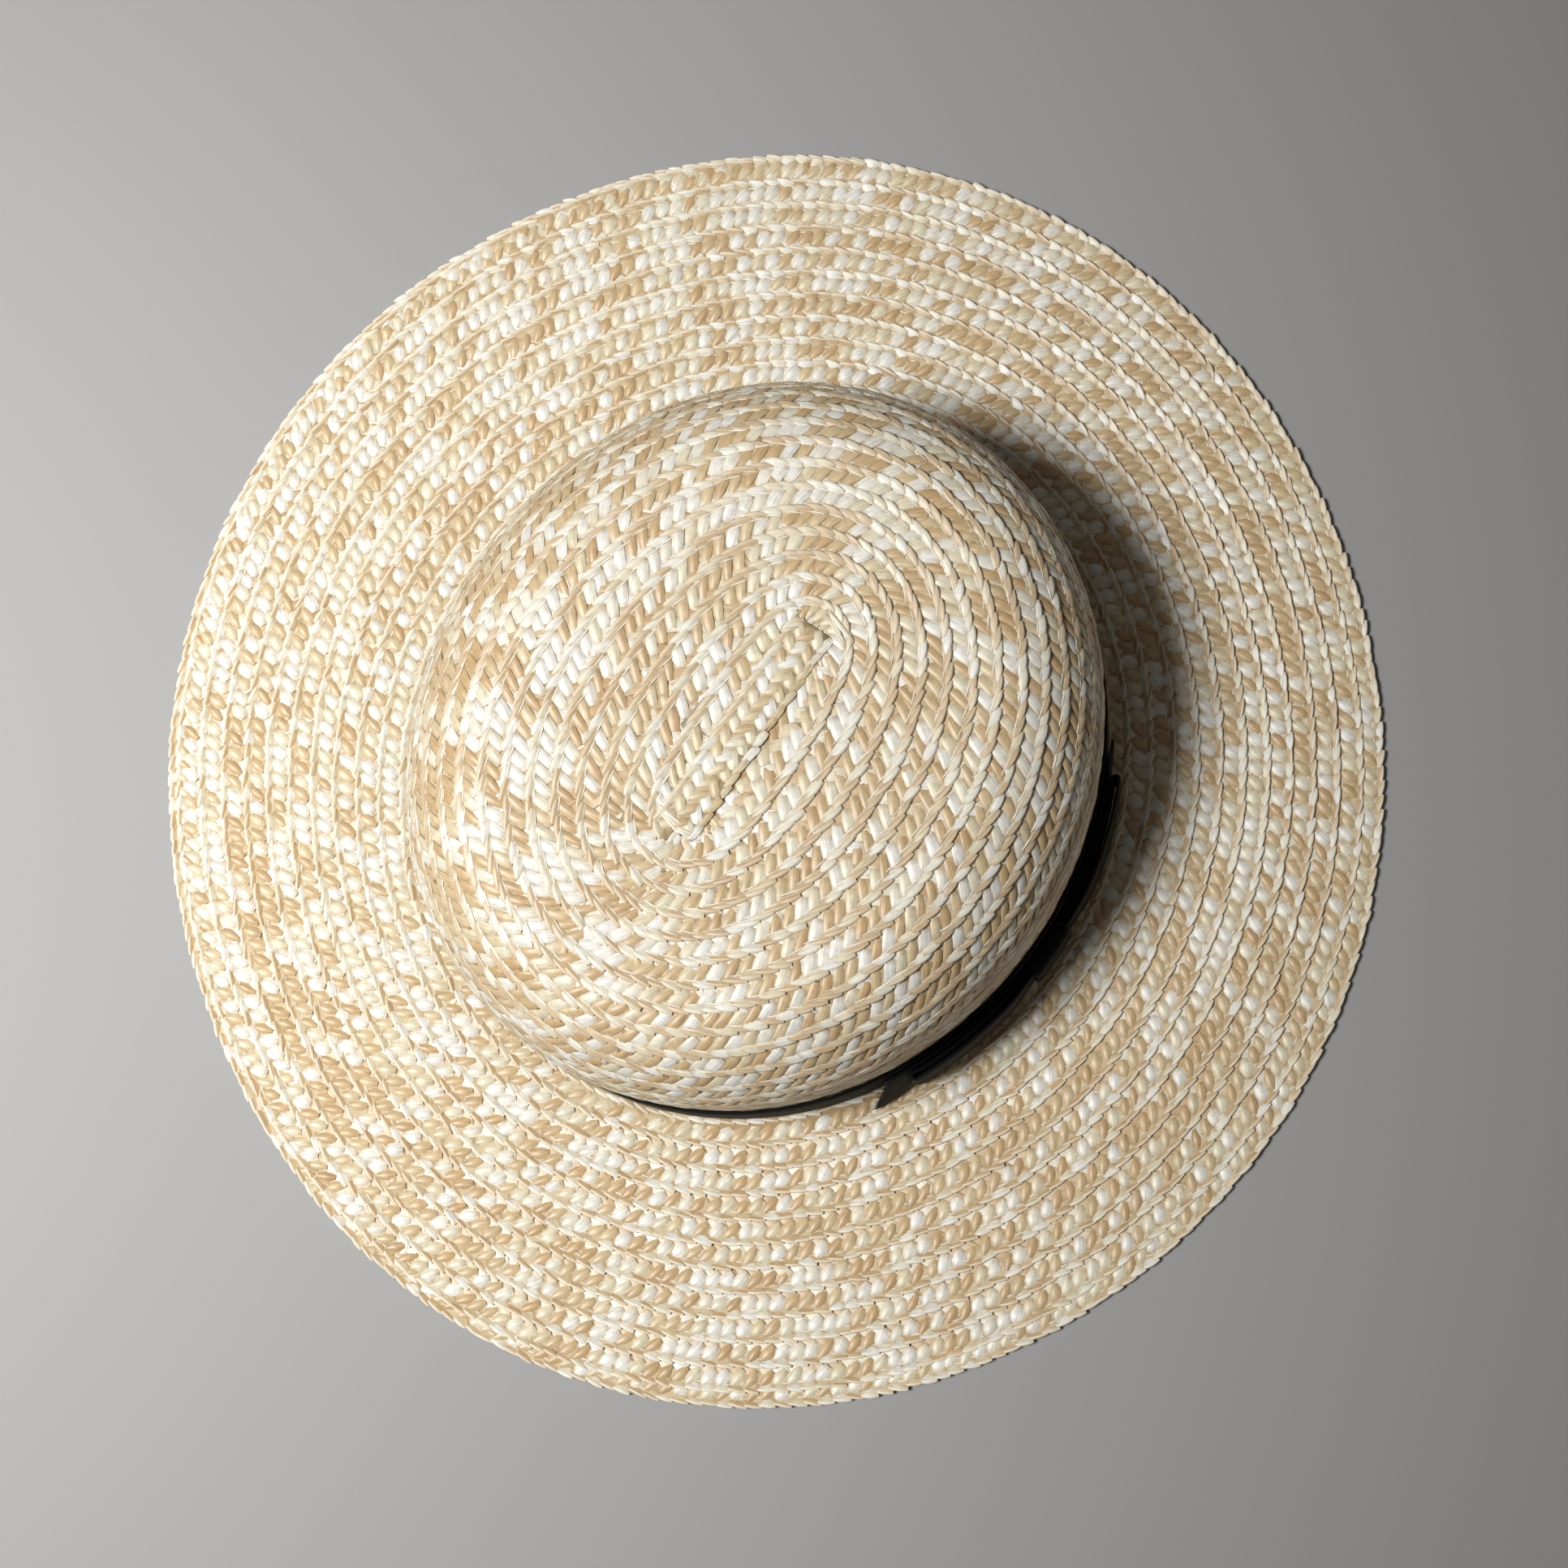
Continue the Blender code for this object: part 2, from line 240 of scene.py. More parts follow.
BRIM_COLUMNS = (
    {"middle": 1.05, "length": 4.9, "width": 2.15, "slant": 9, "level": -0.30, "rise": 0.52, "dip": 0.16,
     "tilt": 0.0, "taper": 0.32, "strand": 6, "lean": 0.08, "rows": 5, "shape": "ridge"},
    {"middle": 3.95, "length": 5.1, "width": 3.35, "slant": -46, "level": -0.36, "rise": 0.46, "dip": 0.26,
     "tilt": 0.05, "taper": 0.34, "strand": 0, "lean": 0.0, "rows": 5, "shape": "round"},
    {"middle": 5.60, "length": 5.4, "width": 3.10, "slant": 46, "level": -0.42, "rise": 0.18, "dip": 0.14,
     "tilt": 0.06, "taper": 0.08, "strand": 5, "lean": 0.15, "rows": 4, "shape": "plain"},
)
# Shape of a straw from side to side: places across, heights as a share of the rise, and pale lines painted
# along the folds as highlight.
# The rim and the ridge are straws folded over the strip's edge, steep outside and falling inward.
ACROSS_SHAPES = {
    "plain": {"place": (-1, 0, 1), "height": (0, 1, 0), "crease_highlight": (0, 0, 0)},
    "flat": {"place": (-1, -0.78, 0.78, 1), "height": (0, 1, 1, 0), "crease_highlight": (0, 0, 0, 0)},
    "round": {"place": (-1, -0.50, 0.50, 1), "height": (0, 1, 1, 0), "crease_highlight": (0, 0, 0, 0)},
    "rim": {"place": (-1, -0.84, -0.45, 0.15, 0.75, 1), "height": (-0.5, 0.80, 1.0, 0.78, 0.36, 0.0),
            "crease_highlight": (0, 0.4, 0.35, 0, 0.35, 0)},
    "ridge": {"place": (-1, -0.84, -0.52, 0.05, 0.65, 1), "height": (-0.4, 0.86, 1.0, 0.66, 0.28, 0.0),
              "crease_highlight": (0, 0.65, 0.6, 0, 0, 0)},
}
# How many stitches a straw lasts, from the least to the most; how golden the kinds of straw are, from
# white to brown, their shares of the straws, and how far a straw strays from its kind
SPLICE_STITCHES = (14, 60)
STRAW_KINDS = (0.05, 0.35, 0.75, 0.95)
KIND_SHARES = (0.34, 0.20, 0.26, 0.20)
KIND_SPREAD = 0.06
# White straws are split wider than golden ones
WHITE_WIDTH = 1.10
GOLD_SLIM = 0.24
# How far the straws stray from their column, as standard deviations: mm, degrees, or shares of the value
STRAY = {"slant": 4.0, "length": 0.05, "tone": 0.10, "width": 0.06, "middle": 0.12, "start": 0.16,
         "level": 0.05, "rise": 0.12, "tilt": 0.05, "pitch": 0.05}
GRAIN_SPREAD = 50.0
MM = 0.001


def row_edge(turn):
    """Walk to the spiral's outer edge after some turns: a power of the turn, then even over the brim."""
    row = np.clip(turn + START_ROW, 0, CROWN_ROWS) / CROWN_ROWS
    on_crown = CORE_HALF_WIDTH + (CROWN_WALK - CORE_HALF_WIDTH) * row**ROW_EASE
    return on_crown + BRIM_WIDTH * np.clip((turn - CROWN_TURNS) / BRIM_ROWS, 0, 1)


def wind_strip(shift, way):
    """The line of the strip's leading edge, with what turns a step across the strip into walk and angle.

    The angle falls evenly while the walk follows the row's edge. A step across, taken square to the
    line, is a step of walk divided by its share square to the line, and a slip of angle that undoes
    its share along the line. The way is 1 for the outer face and -1 for the inner one.
    """
    turn = np.linspace(0, CROWN_TURNS + BRIM_TURNS, int((CROWN_TURNS + BRIM_TURNS) * STEPS_A_TURN))
    angle = START_ANGLE - 2 * np.pi * turn
    walk = row_edge(turn) + shift
    points = hat_face(walk, angle, 0.0)
    along = np.concatenate(([0.0], np.cumsum(np.linalg.norm(np.diff(points, axis=0), axis=1))))
    tangent = np.gradient(points, along, axis=0)
    tangent /= np.linalg.norm(tangent, axis=1, keepdims=True)
    small = 1e-5
    out = (hat_face(walk + small, angle, 0.0) - hat_face(walk - small, angle, 0.0)) / (2 * small)
    turned = (hat_face(walk, angle + small, 0.0) - hat_face(walk, angle - small, 0.0)) / (2 * small)
    skew = (out * tangent).sum(axis=1)
    reach = 1 / np.linalg.norm(out - skew[:, None] * tangent, axis=1)
    slip = reach * skew / (turned * tangent).sum(axis=1)
    return {"turn": turn, "angle": angle, "walk": walk, "along": along,
            "reach": reach * way, "slip": slip * way, "way": way}


def on_strip(strip, along, across, level):
    """Points of the strip: along its line, across from its leading edge, and off the face that shows."""
    keys = ("walk", "angle", "reach", "slip")
    read = {key: np.interp(along, strip["along"], strip[key]) for key in keys}
    walk = np.maximum(read["walk"] - read["reach"] * across, 0.0)
    angle = read["angle"] + read["slip"] * across
    if strip["way"] > 0:
        return hat_face(walk, angle, level)
    depth = np.where(walk > CROWN_WALK, BRIM_THICKNESS, CROWN_WALL)
    return hat_face(walk, angle, -depth - level)


def strand_tones(stitches, draw):
    """How golden each of the seven straws is along the plait: even from one splice to the next.

    A straw is of one kind for some tens of stitches, until the next one is laid in.
    """
    grid = (STRANDS, stitches // SPLICE_STITCHES[0])
    runs = draw.integers(*SPLICE_STITCHES, grid)
    kinds = draw.choice(STRAW_KINDS, grid, p=KIND_SHARES)
    tones = np.clip(kinds + draw.normal(0, KIND_SPREAD, kinds.shape), 0, 1)
    return np.stack([np.repeat(tone, run)[:stitches] for tone, run in zip(tones, runs)])


def straw_batch(place_on, column, stitch, tones, draw, lap=LAP_DROP):
    """A batch of like straws, each a pillow on the strip: a grid that rises across and dips at its ends.

    Height is the level, plus the rise times the shape across, less the dip times the cube of the way
    to the end, less the fall of the strip under its neighbour. Small turns and shifts are drawn at
    random. place_on puts places along, across and off the strip on the hat.
    """
    count = len(stitch)
    shape = ACROSS_SHAPES[column["shape"]]
    run = np.linspace(-1, 1, column["rows"])[None, :, None]
    place = np.array(shape["place"])[None, None, :]
    rise = np.array(shape["height"])[None, None, :]

    def vary(key):
        return draw.normal(0, STRAY[key], count)[:, None, None]

    slant = np.radians(column["slant"] + vary("slant"))
    length = column["length"] * (1 + vary("length")) / 2
    strand = ((stitch + column["strand"]) % STRANDS).astype(int)
    own_tone = tones[strand, stitch.astype(int)][:, None, None]
    tone = np.clip(own_tone + column["lean"] + vary("tone"), 0, 1)
    width = column["width"] * (WHITE_WIDTH - GOLD_SLIM * tone + vary("width")) / 2
    width = width * (1 - column["taper"] * run**2)
    middle = column["middle"] + vary("middle")
    start = stitch[:, None, None] * STITCH / MM + vary("start")
    along = start + run * length * np.cos(slant) - place * width * np.sin(slant)
    across = middle + run * length * np.sin(slant) + place * width * np.cos(slant)
    level = column["level"] + vary("level") + column["rise"] * (1 + vary("rise")) * rise
    level = level + (column["tilt"] + vary("tilt")) * place + vary("pitch") * run
    level = level - column["dip"] * np.abs(run) ** 3
    level = level - lap / LAP_RUN * np.clip(across, 0, None)
    points = place_on(along * MM, across * MM, level * MM)
    grid = np.ones(points.shape[:3])
    patch = draw.random(count)[:, None, None] * GRAIN_SPREAD
    return {
        "points": points,
        "tone": tone * grid,
        "crease_highlight": np.array(shape["crease_highlight"])[None, None, :] * grid,
        "dip_shade": np.abs(run) * grid,
        "grain": np.stack((place * width * grid, run * length * grid, patch * grid), axis=-1),
    }


def pillow_faces(count, rows, columns):
    """Corners and sizes of the faces of many pillows: quads over the grid and one face round below it."""
    row = np.arange(rows - 1)[:, None]
    column = np.arange(columns - 1)[None, :]
    first = row * columns + column
    quads = np.stack((first, first + 1, first + columns + 1, first + columns), axis=-1).reshape(-1)
    rim = np.concatenate(
        (
            np.arange(rows) * columns,
            (rows - 1) * columns + np.arange(1, columns),
            np.arange(rows - 2, -1, -1) * columns + columns - 1,
            np.arange(columns - 2, 0, -1),
        )
    )
    pattern = np.concatenate((quads, rim))
    sizes = np.concatenate((np.full((rows - 1) * (columns - 1), 4), [len(rim)]))
    corners = (np.arange(count)[:, None] * rows * columns + pattern[None, :]).ravel()
    return corners, np.tile(sizes, count)


# The bed of the strip: the undersides of its own straws, close below the ones on top, so that a gap
# between two straws shows more straw. Across from the edge, and level above the face, in mm
BED_SECTION = (
    (0.35, -1.15), (0.45, -0.34), (1.1, -0.16), (2.4, -0.36), (5.2, -0.50), (9.4, -0.66), (9.4, -1.05)
)
BED_STEP = 0.003
# How far the bed stays from the crown's foot, in mm
FOOT_MARGIN = 0.5


def bed_piece(name, place_on, section, places, lap, material, room=np.inf):
    """A closed flat tube under the straws: a section across, carried through places along, in metres.

    The section falls with the lap of the strip, and ends where there is no more room across, in mm.
    The attribute grain holds the places across and along in mm.
    """
    along = places[:, None]
    section = np.array(section)
    across = np.minimum(section[None, :, 0], np.broadcast_to(room, places.shape)[:, None])
    level = section[None, :, 1] - lap / LAP_RUN * across
    rings = place_on(along, across * MM, level * MM)
    piece = mesh_piece(name, rings.reshape(-1, 3), *skin_rings(rings), material)
    grain = np.stack((across, along / MM + 0 * across, 0 * across), axis=-1)
    layer = piece.data.attributes.new("grain", "FLOAT_VECTOR", "POINT")
    layer.data.foreach_set("vector", grain.astype(np.float32).ravel())
    return piece


def straw_piece(name, batches, material):
    """One object of many straws, with attributes of its points: tone, grain, and the shares of painted
    highlight along the folds and of painted shade towards the ends.

    The faces with more than four corners are the ones below the straws.
    """
    corners, sizes, offset = [], [], 0
    for batch in batches:
        count, rows, columns = batch["points"].shape[:3]
        faces, totals = pillow_faces(count, rows, columns)
        corners.append(faces + offset)
        sizes.append(totals)
        offset += count * rows * columns
    points = np.concatenate([batch["points"].reshape(-1, 3) for batch in batches])
    sizes = np.concatenate(sizes)
    piece = mesh_piece(name, points, np.concatenate(corners), sizes, material)
    # Sharp edges part the face below each straw from its top, which keeps its own shading to the rim
    edges = np.empty(len(piece.data.loops), np.int32)
    piece.data.loops.foreach_get("edge_index", edges)
    sharp = np.zeros(len(piece.data.edges), bool)
    sharp[edges[np.repeat(sizes > 4, sizes)]] = True
    piece.data.edges.foreach_set("use_edge_sharp", sharp)
    for key in ("tone", "crease_highlight", "dip_shade"):
        values = np.concatenate([batch[key].ravel() for batch in batches])
        layer = piece.data.attributes.new(key, "FLOAT", "POINT")
        layer.data.foreach_set("value", values.astype(np.float32))
    values = np.concatenate([batch["grain"].reshape(-1, 3) for batch in batches])
    layer = piece.data.attributes.new("grain", "FLOAT_VECTOR", "POINT")
    layer.data.foreach_set("vector", values.astype(np.float32).ravel())
    return piece


def node(tree, kind, inputs=None, **settings):
    """A node of a kind, with its settings and the values of its inputs."""
    made = tree.nodes.new(kind)
    for key, value in settings.items():
        setattr(made, key, value)
    for key, value in (inputs or {}).items():
        if isinstance(value, bpy.types.NodeSocket):
            tree.links.new(value, made.inputs[key])
        else:
            made.inputs[key].default_value = value
    return made


def ramp(tree, factor, stops):
    """A colour ramp over a factor, from stops of place and colour."""
    made = node(tree, "ShaderNodeValToRGB", {"Fac": factor})
    band = made.color_ramp
    band.elements[0].position, band.elements[0].color = stops[0]
    band.elements[1].position, band.elements[1].color = stops[-1]
    for place, colour in stops[1:-1]:
        band.elements.new(place).color = colour
    return made.outputs["Color"]


STRAW_TONES = (
    (0.00, (0.90, 0.87, 0.79, 1)),
    (0.30, (0.83, 0.76, 0.56, 1)),
    (0.60, (0.72, 0.57, 0.34, 1)),
    (1.00, (0.63, 0.43, 0.22, 1)),
)
# Pale colour of the painted highlight along the straws' folds
CREASE_HIGHLIGHT_COLOUR = (0.90, 0.85, 0.72, 1)
# Painted shade at the straws' ends, where they dip under the next straw: its brown, its strength, and where
# along the straw it starts
END_SHADE_COLOUR = (0.50, 0.35, 0.18, 1)
END_SHADE = 0.55
END_FROM = 0.45
# The bed's colours, darker than the straw on top: painted shade, deepest between the bars
BED_SHADE_LIGHT = (0.62, 0.49, 0.30, 1)
BED_SHADE_DARK = (0.44, 0.31, 0.15, 1)


def straw_finish(name):
    """Glossy straw: a tone by strand, fine streaks along it, a painted highlight pale at the creases, and
    painted shade brown where it dips under.
    """
    material = bpy.data.materials.new(name)
    material.use_nodes = True
    tree = material.node_tree
    shader = tree.nodes["Principled BSDF"]
    tone = node(tree, "ShaderNodeAttribute", attribute_name="tone").outputs["Fac"]
    crease_highlight = node(tree, "ShaderNodeAttribute", attribute_name="crease_highlight").outputs["Fac"]
    grain = node(tree, "ShaderNodeAttribute", attribute_name="grain").outputs["Vector"]
    spread = node(tree, "ShaderNodeMapping", {"Vector": grain, "Scale": (3.2, 0.22, 1.0)})
    spread = spread.outputs["Vector"]
    streak = node(tree, "ShaderNodeTexNoise", {"Vector": spread, "Scale": 1.0, "Detail": 3.0}).outputs["Fac"]
    patch = node(tree, "ShaderNodeTexNoise", {"Vector": grain, "Scale": 0.45, "Detail": 1.0}).outputs["Fac"]
    middle = {"From Min": 0.3, "From Max": 0.7}
    shade = node(tree, "ShaderNodeMapRange", {"Value": streak, **middle, "To Min": 0.74, "To Max": 1.08})
    cloud = node(tree, "ShaderNodeMapRange", {"Value": patch, **middle, "To Min": 0.90, "To Max": 1.06})
    both = node(tree, "ShaderNodeMath", {0: shade.outputs["Result"], 1: cloud.outputs["Result"]},
                operation="MULTIPLY").outputs["Value"]
    # Painted shade: the straw turns brown towards its ends, where it dips under
    dip_shade = node(tree, "ShaderNodeAttribute", attribute_name="dip_shade").outputs["Fac"]
    dip_shade_share = node(tree, "ShaderNodeMapRange", {"Value": dip_shade, "From Min": END_FROM, "To Max": END_SHADE})
    dip_shade_share = dip_shade_share.outputs["Result"]
    colour = ramp(tree, tone, STRAW_TONES)
    end_shaded = node(tree, "ShaderNodeMix", {"Factor": dip_shade_share, "A": colour, "B": END_SHADE_COLOUR}, data_type="RGBA")
    end_shaded = end_shaded.outputs["Result"]
    streaked = node(tree, "ShaderNodeVectorMath", {0: end_shaded, "Scale": both}, operation="SCALE")
    streaked = streaked.outputs["Vector"]
    # Painted highlight: pale lines along the folded edges, where the light catches them
    highlighted = node(tree, "ShaderNodeMix", {"Factor": crease_highlight, "A": streaked, "B": CREASE_HIGHLIGHT_COLOUR},
                data_type="RGBA")
    tree.links.new(highlighted.outputs["Result"], shader.inputs["Base Color"])
    gloss = node(tree, "ShaderNodeMapRange", {"Value": streak, "To Min": 0.30, "To Max": 0.50})
    tree.links.new(gloss.outputs["Result"], shader.inputs["Roughness"])
    bump = node(tree, "ShaderNodeBump", {"Height": streak, "Strength": 0.35, "Distance": 0.0001})
    tree.links.new(bump.outputs["Normal"], shader.inputs["Normal"])
    shader.inputs["Specular IOR Level"].default_value = 0.6
    return material


def bed_finish(name):
    """Straw in the shade of the straws above, with the shade painted in: khaki bars at a slant, a stitch
    apart, darker between.
    """
    material = bpy.data.materials.new(name)
    material.use_nodes = True
    tree = material.node_tree
    shader = tree.nodes["Principled BSDF"]
    grain = node(tree, "ShaderNodeAttribute", attribute_name="grain").outputs["Vector"]
    parts = node(tree, "ShaderNodeSeparateXYZ", {"Vector": grain}).outputs
    slant = node(tree, "ShaderNodeMath", {0: parts["X"], 1: parts["Y"]}, operation="SUBTRACT")
    slant = slant.outputs["Value"]
    bars = node(tree, "ShaderNodeMath", {0: slant, 1: STITCH / MM}, operation="PINGPONG").outputs["Value"]
    cloud = node(tree, "ShaderNodeTexNoise", {"Vector": grain, "Scale": 0.35, "Detail": 2.0}).outputs["Fac"]
    both = node(tree, "ShaderNodeMath", {0: bars, 1: cloud}, operation="MULTIPLY").outputs["Value"]
    colour = ramp(tree, both, ((0.05, BED_SHADE_DARK), (0.7, BED_SHADE_LIGHT)))
    tree.links.new(colour, shader.inputs["Base Color"])
    shader.inputs["Roughness"].default_value = 0.6
    return material


draw = np.random.default_rng(41)
outer_strip = wind_strip(0.0, 1)
stitch_total = int(outer_strip["along"][-1] / STITCH)
tones = strand_tones(stitch_total + STRANDS, draw)
straw = straw_finish("plaited_straw")
# Where the outer face is parted into pieces, in turns of the spiral
OUTER_PARTS = (
    {"piece": "crown_tip_plait", "from": 0.0, "to": 11.0},
    {"piece": "crown_side_plait", "from": 11.0, "to": CROWN_TURNS},
    {"piece": "brim_inner_plait", "from": CROWN_TURNS, "to": 28.1},
    {"piece": "brim_outer_plait", "from": 28.1, "to": 35.0},
)


def on_outer(along, across, level):
    """Points of the outer face of the plait."""
    return on_strip(outer_strip, along, across, level)


stitches = np.arange(1, stitch_total)
stitch_turns = np.interp(stitches * STITCH, outer_strip["along"], outer_strip["turn"])
# On the tip the first turns lie wider apart, and one more column of long straws shows
TIP_COLUMN = {
    "middle": 8.4, "length": 5.4, "width": 3.0, "slant": -46, "level": -0.38, "rise": 0.20, "dip": 0.20,
    "tilt": 0.10, "taper": 0.10, "strand": 2, "lean": 0.0, "rows": 5, "shape": "flat",
}
TIP_TURNS = 4.0
for part in OUTER_PARTS:
    own = stitches[(stitch_turns >= part["from"]) & (stitch_turns < part["to"])]
    on_brim = part["from"] >= CROWN_TURNS
    columns = BRIM_COLUMNS if on_brim else CROWN_COLUMNS
    batches = [straw_batch(on_outer, column, own, tones, draw) for column in columns]
    if part["from"] == 0.0:
        batches.append(straw_batch(on_outer, TIP_COLUMN, stitches[stitch_turns < TIP_TURNS], tones, draw))
    piece = straw_piece(part["piece"], batches, straw)
    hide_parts("brim" if on_brim else "crown")

shaded_strip = bed_finish("shaded_strip")
strip_length = outer_strip["along"][-1]
bed_places = np.linspace(0.0, strip_length, int(strip_length / BED_STEP))
# On the brim the bed ends at the crown's foot, where it would stand across the corner
bed_over = (np.interp(bed_places, outer_strip["along"], outer_strip["walk"]) - CROWN_WALK) / MM
bed_room = np.where(bed_over > 0, np.maximum(bed_over - FOOT_MARGIN, FOOT_MARGIN), np.inf)
strip_bed = bed_piece("strip_bed", on_outer, BED_SECTION, bed_places, LAP_DROP, shaded_strip, bed_room)
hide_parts("crown", "brim")

# The core of the tip: the first finger of the plait, lying straight along the middle of the crown with
# all its straws in sight. The spiral starts at its brow end and turns round its other end, and at both
# the cut straws stick out frayed.
CORE_COLUMNS = (
    {"middle": 1.25, "length": 5.2, "width": 2.30, "slant": 13, "level": -0.24, "rise": 0.46, "dip": 0.20,
     "tilt": 0.0, "taper": 0.42, "strand": 6, "lean": 0.10, "rows": 4, "shape": "rim"},
    {"middle": 3.60, "length": 4.8, "width": 2.80, "slant": -45, "level": -0.20, "rise": 0.24, "dip": 0.26,
     "tilt": 0.08, "taper": 0.08, "strand": 0, "lean": 0.0, "rows": 5, "shape": "flat"},
    {"middle": 6.10, "length": 5.2, "width": 2.70, "slant": 47, "level": -0.10, "rise": 0.22, "dip": 0.26,
     "tilt": 0.08, "taper": 0.06, "strand": 5, "lean": 0.10, "rows": 5, "shape": "flat"},
    {"middle": 8.50, "length": 4.8, "width": 2.80, "slant": -45, "level": -0.22, "rise": 0.24, "dip": 0.26,
     "tilt": 0.08, "taper": 0.08, "strand": 2, "lean": 0.0, "rows": 5, "shape": "flat"},
    {"middle": 10.7, "length": 5.2, "width": 2.40, "slant": 10, "level": -0.46, "rise": 0.46, "dip": 0.12,
     "tilt": 0.0, "taper": 0.20, "strand": 4, "lean": 0.10, "rows": 4, "shape": "plain"},
)
CORE_LIFT = 0.00006


def on_core(along, across, level):
    """Points of the straight core: along from its brow end, across from the edge away from the bow.

    The height is the level above the crown's profile at that distance from the middle.
    """
    along, across, level = np.broadcast_arrays(along, across, level)
    x = across - CORE_HALF_WIDTH
    height = crown_profile(np.abs(x))[1]
    return np.stack((x, along - CORE_LENGTH / 2, height + level + CORE_LIFT), axis=-1)


CORE_FIRST_STITCH = 0.6
CORE_LAST_STITCH = CORE_LENGTH / STITCH - 0.4
core_stitches = np.arange(CORE_FIRST_STITCH, CORE_LAST_STITCH)
core_batches = [straw_batch(on_core, column, core_stitches, tones, draw, 0.0) for column in CORE_COLUMNS]
# The frayed ends at the core: where they lie along it in stitches and across it in mm, with the split
# straws' length, width and slant, in mm and degrees
CORE_FRAYS = (
    {"at": (0.30, 0.38, 0.46, 0.55, 0.66), "middle": 3.4, "length": 9.0, "width": 0.75, "slant": 101},
    {"at": (0.20, 0.50), "middle": 8.2, "length": 5.5, "width": 1.0, "slant": 74},
    {"at": (14.3, 14.55, 14.8), "middle": 1.4, "length": 5.2, "width": 1.1, "slant": 44},
    {"at": (14.6, 15.0), "middle": 0.4, "length": 4.4, "width": 0.8, "slant": 12},
    {"at": (15.7, 15.9, 16.1, 16.3), "middle": 11.4, "length": 10.5, "width": 0.95, "slant": 110},
)
FRAY = {
    "level": 0.10, "rise": 0.16, "dip": 0.30, "tilt": 0.0, "taper": 0.45, "strand": 0, "lean": -0.1,
    "rows": 5, "shape": "plain",
}
core_batches += [
    straw_batch(on_core, {**FRAY, **fray}, np.array(fray["at"]), tones, draw, 0.0) for fray in CORE_FRAYS
]
core_piece = straw_piece("tip_core_plait", core_batches, straw)
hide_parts("crown")
CORE_BED_SECTION = ((0.7, -0.95), (0.7, -0.28), (11.0, -0.28), (11.0, -0.95))
CORE_BED_RINGS = 21
CORE_BED_INSET = 0.001
core_places = np.linspace(CORE_BED_INSET, CORE_LENGTH - CORE_BED_INSET, CORE_BED_RINGS)
core_bed = bed_piece("core_bed", on_core, CORE_BED_SECTION, core_places, 0.0, shaded_strip)
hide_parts("crown")

# The sewing: a fine cotton thread, machined through each lap just inside the folded edge of the strip.
# Its stitches lie in the straw and show as short pale lines, all round the hat.
THREAD_COLUMN = {
    "middle": 2.35, "length": 4.4, "width": 0.34, "slant": 7, "level": 0.03, "rise": 0.12, "dip": 0.10,
    "tilt": 0.0, "taper": 0.30, "strand": 0, "lean": 0.0, "rows": 3, "shape": "plain",
}
BRIM_THREAD = {**THREAD_COLUMN, "middle": 2.45, "level": -0.34}
THREAD_COLOUR = (0.92, 0.89, 0.80, 1.0)
# The distance from one stitch of the thread to the next, and from the ends, in stitches of the plait
THREAD_PITCH = 1.37
THREAD_END = 2.0
thread_stitches = np.arange(THREAD_END, stitch_total - THREAD_END, THREAD_PITCH)
thread_turns = np.interp(thread_stitches * STITCH, outer_strip["along"], outer_strip["turn"])
thread_batches = [
    straw_batch(on_outer, THREAD_COLUMN, thread_stitches[thread_turns < CROWN_TURNS], tones, draw),
    straw_batch(on_outer, BRIM_THREAD, thread_stitches[thread_turns >= CROWN_TURNS], tones, draw),
]
cotton = plain_finish("cotton_thread", THREAD_COLOUR, 0.6)
thread_piece = straw_piece("sewing_thread", thread_batches, cotton)
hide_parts("crown", "brim")

# The inner face of the plait, seen from below: the same strip from its back, and the back of the core.
# Here each outer turn laps over the one inside it, so the strip's other edge shows, and the sewing is
# hidden.
STRIP_WIDTH = 0.0105
INNER_COLUMNS = (
    {"middle": 1.15, "length": 5.3, "width": 2.30, "slant": -12, "level": -0.52, "rise": 0.44, "dip": 0.14,
     "tilt": 0.0, "taper": 0.35, "strand": 3, "lean": 0.10, "rows": 3, "shape": "plain"},
    {"middle": 3.90, "length": 6.2, "width": 3.30, "slant": 46, "level": -0.52, "rise": 0.30, "dip": 0.30,
     "tilt": 0.08, "taper": 0.12, "strand": 1, "lean": 0.0, "rows": 4, "shape": "flat"},
    {"middle": 6.10, "length": 5.4, "width": 3.30, "slant": -46, "level": -0.55, "rise": 0.16, "dip": 0.15,
     "tilt": 0.06, "taper": 0.08, "strand": 4, "lean": 0.05, "rows": 3, "shape": "plain"},
)
inner_strip = wind_strip(-STRIP_WIDTH, -1)


def on_inner(along, across, level):
    """Points of the inner face of the plait."""
    return on_strip(inner_strip, along, across, level)


INNER_CORE_DROP = 0.0001


def in_core(along, across, level):
    """Points of the straight core's inner face: on_core turned over, and down from inside the tip."""
    x = CORE_HALF_WIDTH - across
    height = crown_profile(np.abs(x))[1] - CROWN_WALL
    x, y, height = np.broadcast_arrays(x, along - CORE_LENGTH / 2, height - level - INNER_CORE_DROP)
    return np.stack((x, y, height), axis=-1)


inner_core = [straw_batch(in_core, column, core_stitches, tones, draw, 0.0) for column in CORE_COLUMNS]
inner_core_piece = straw_piece("crown_inside_core", inner_core, straw)
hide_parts("crown")

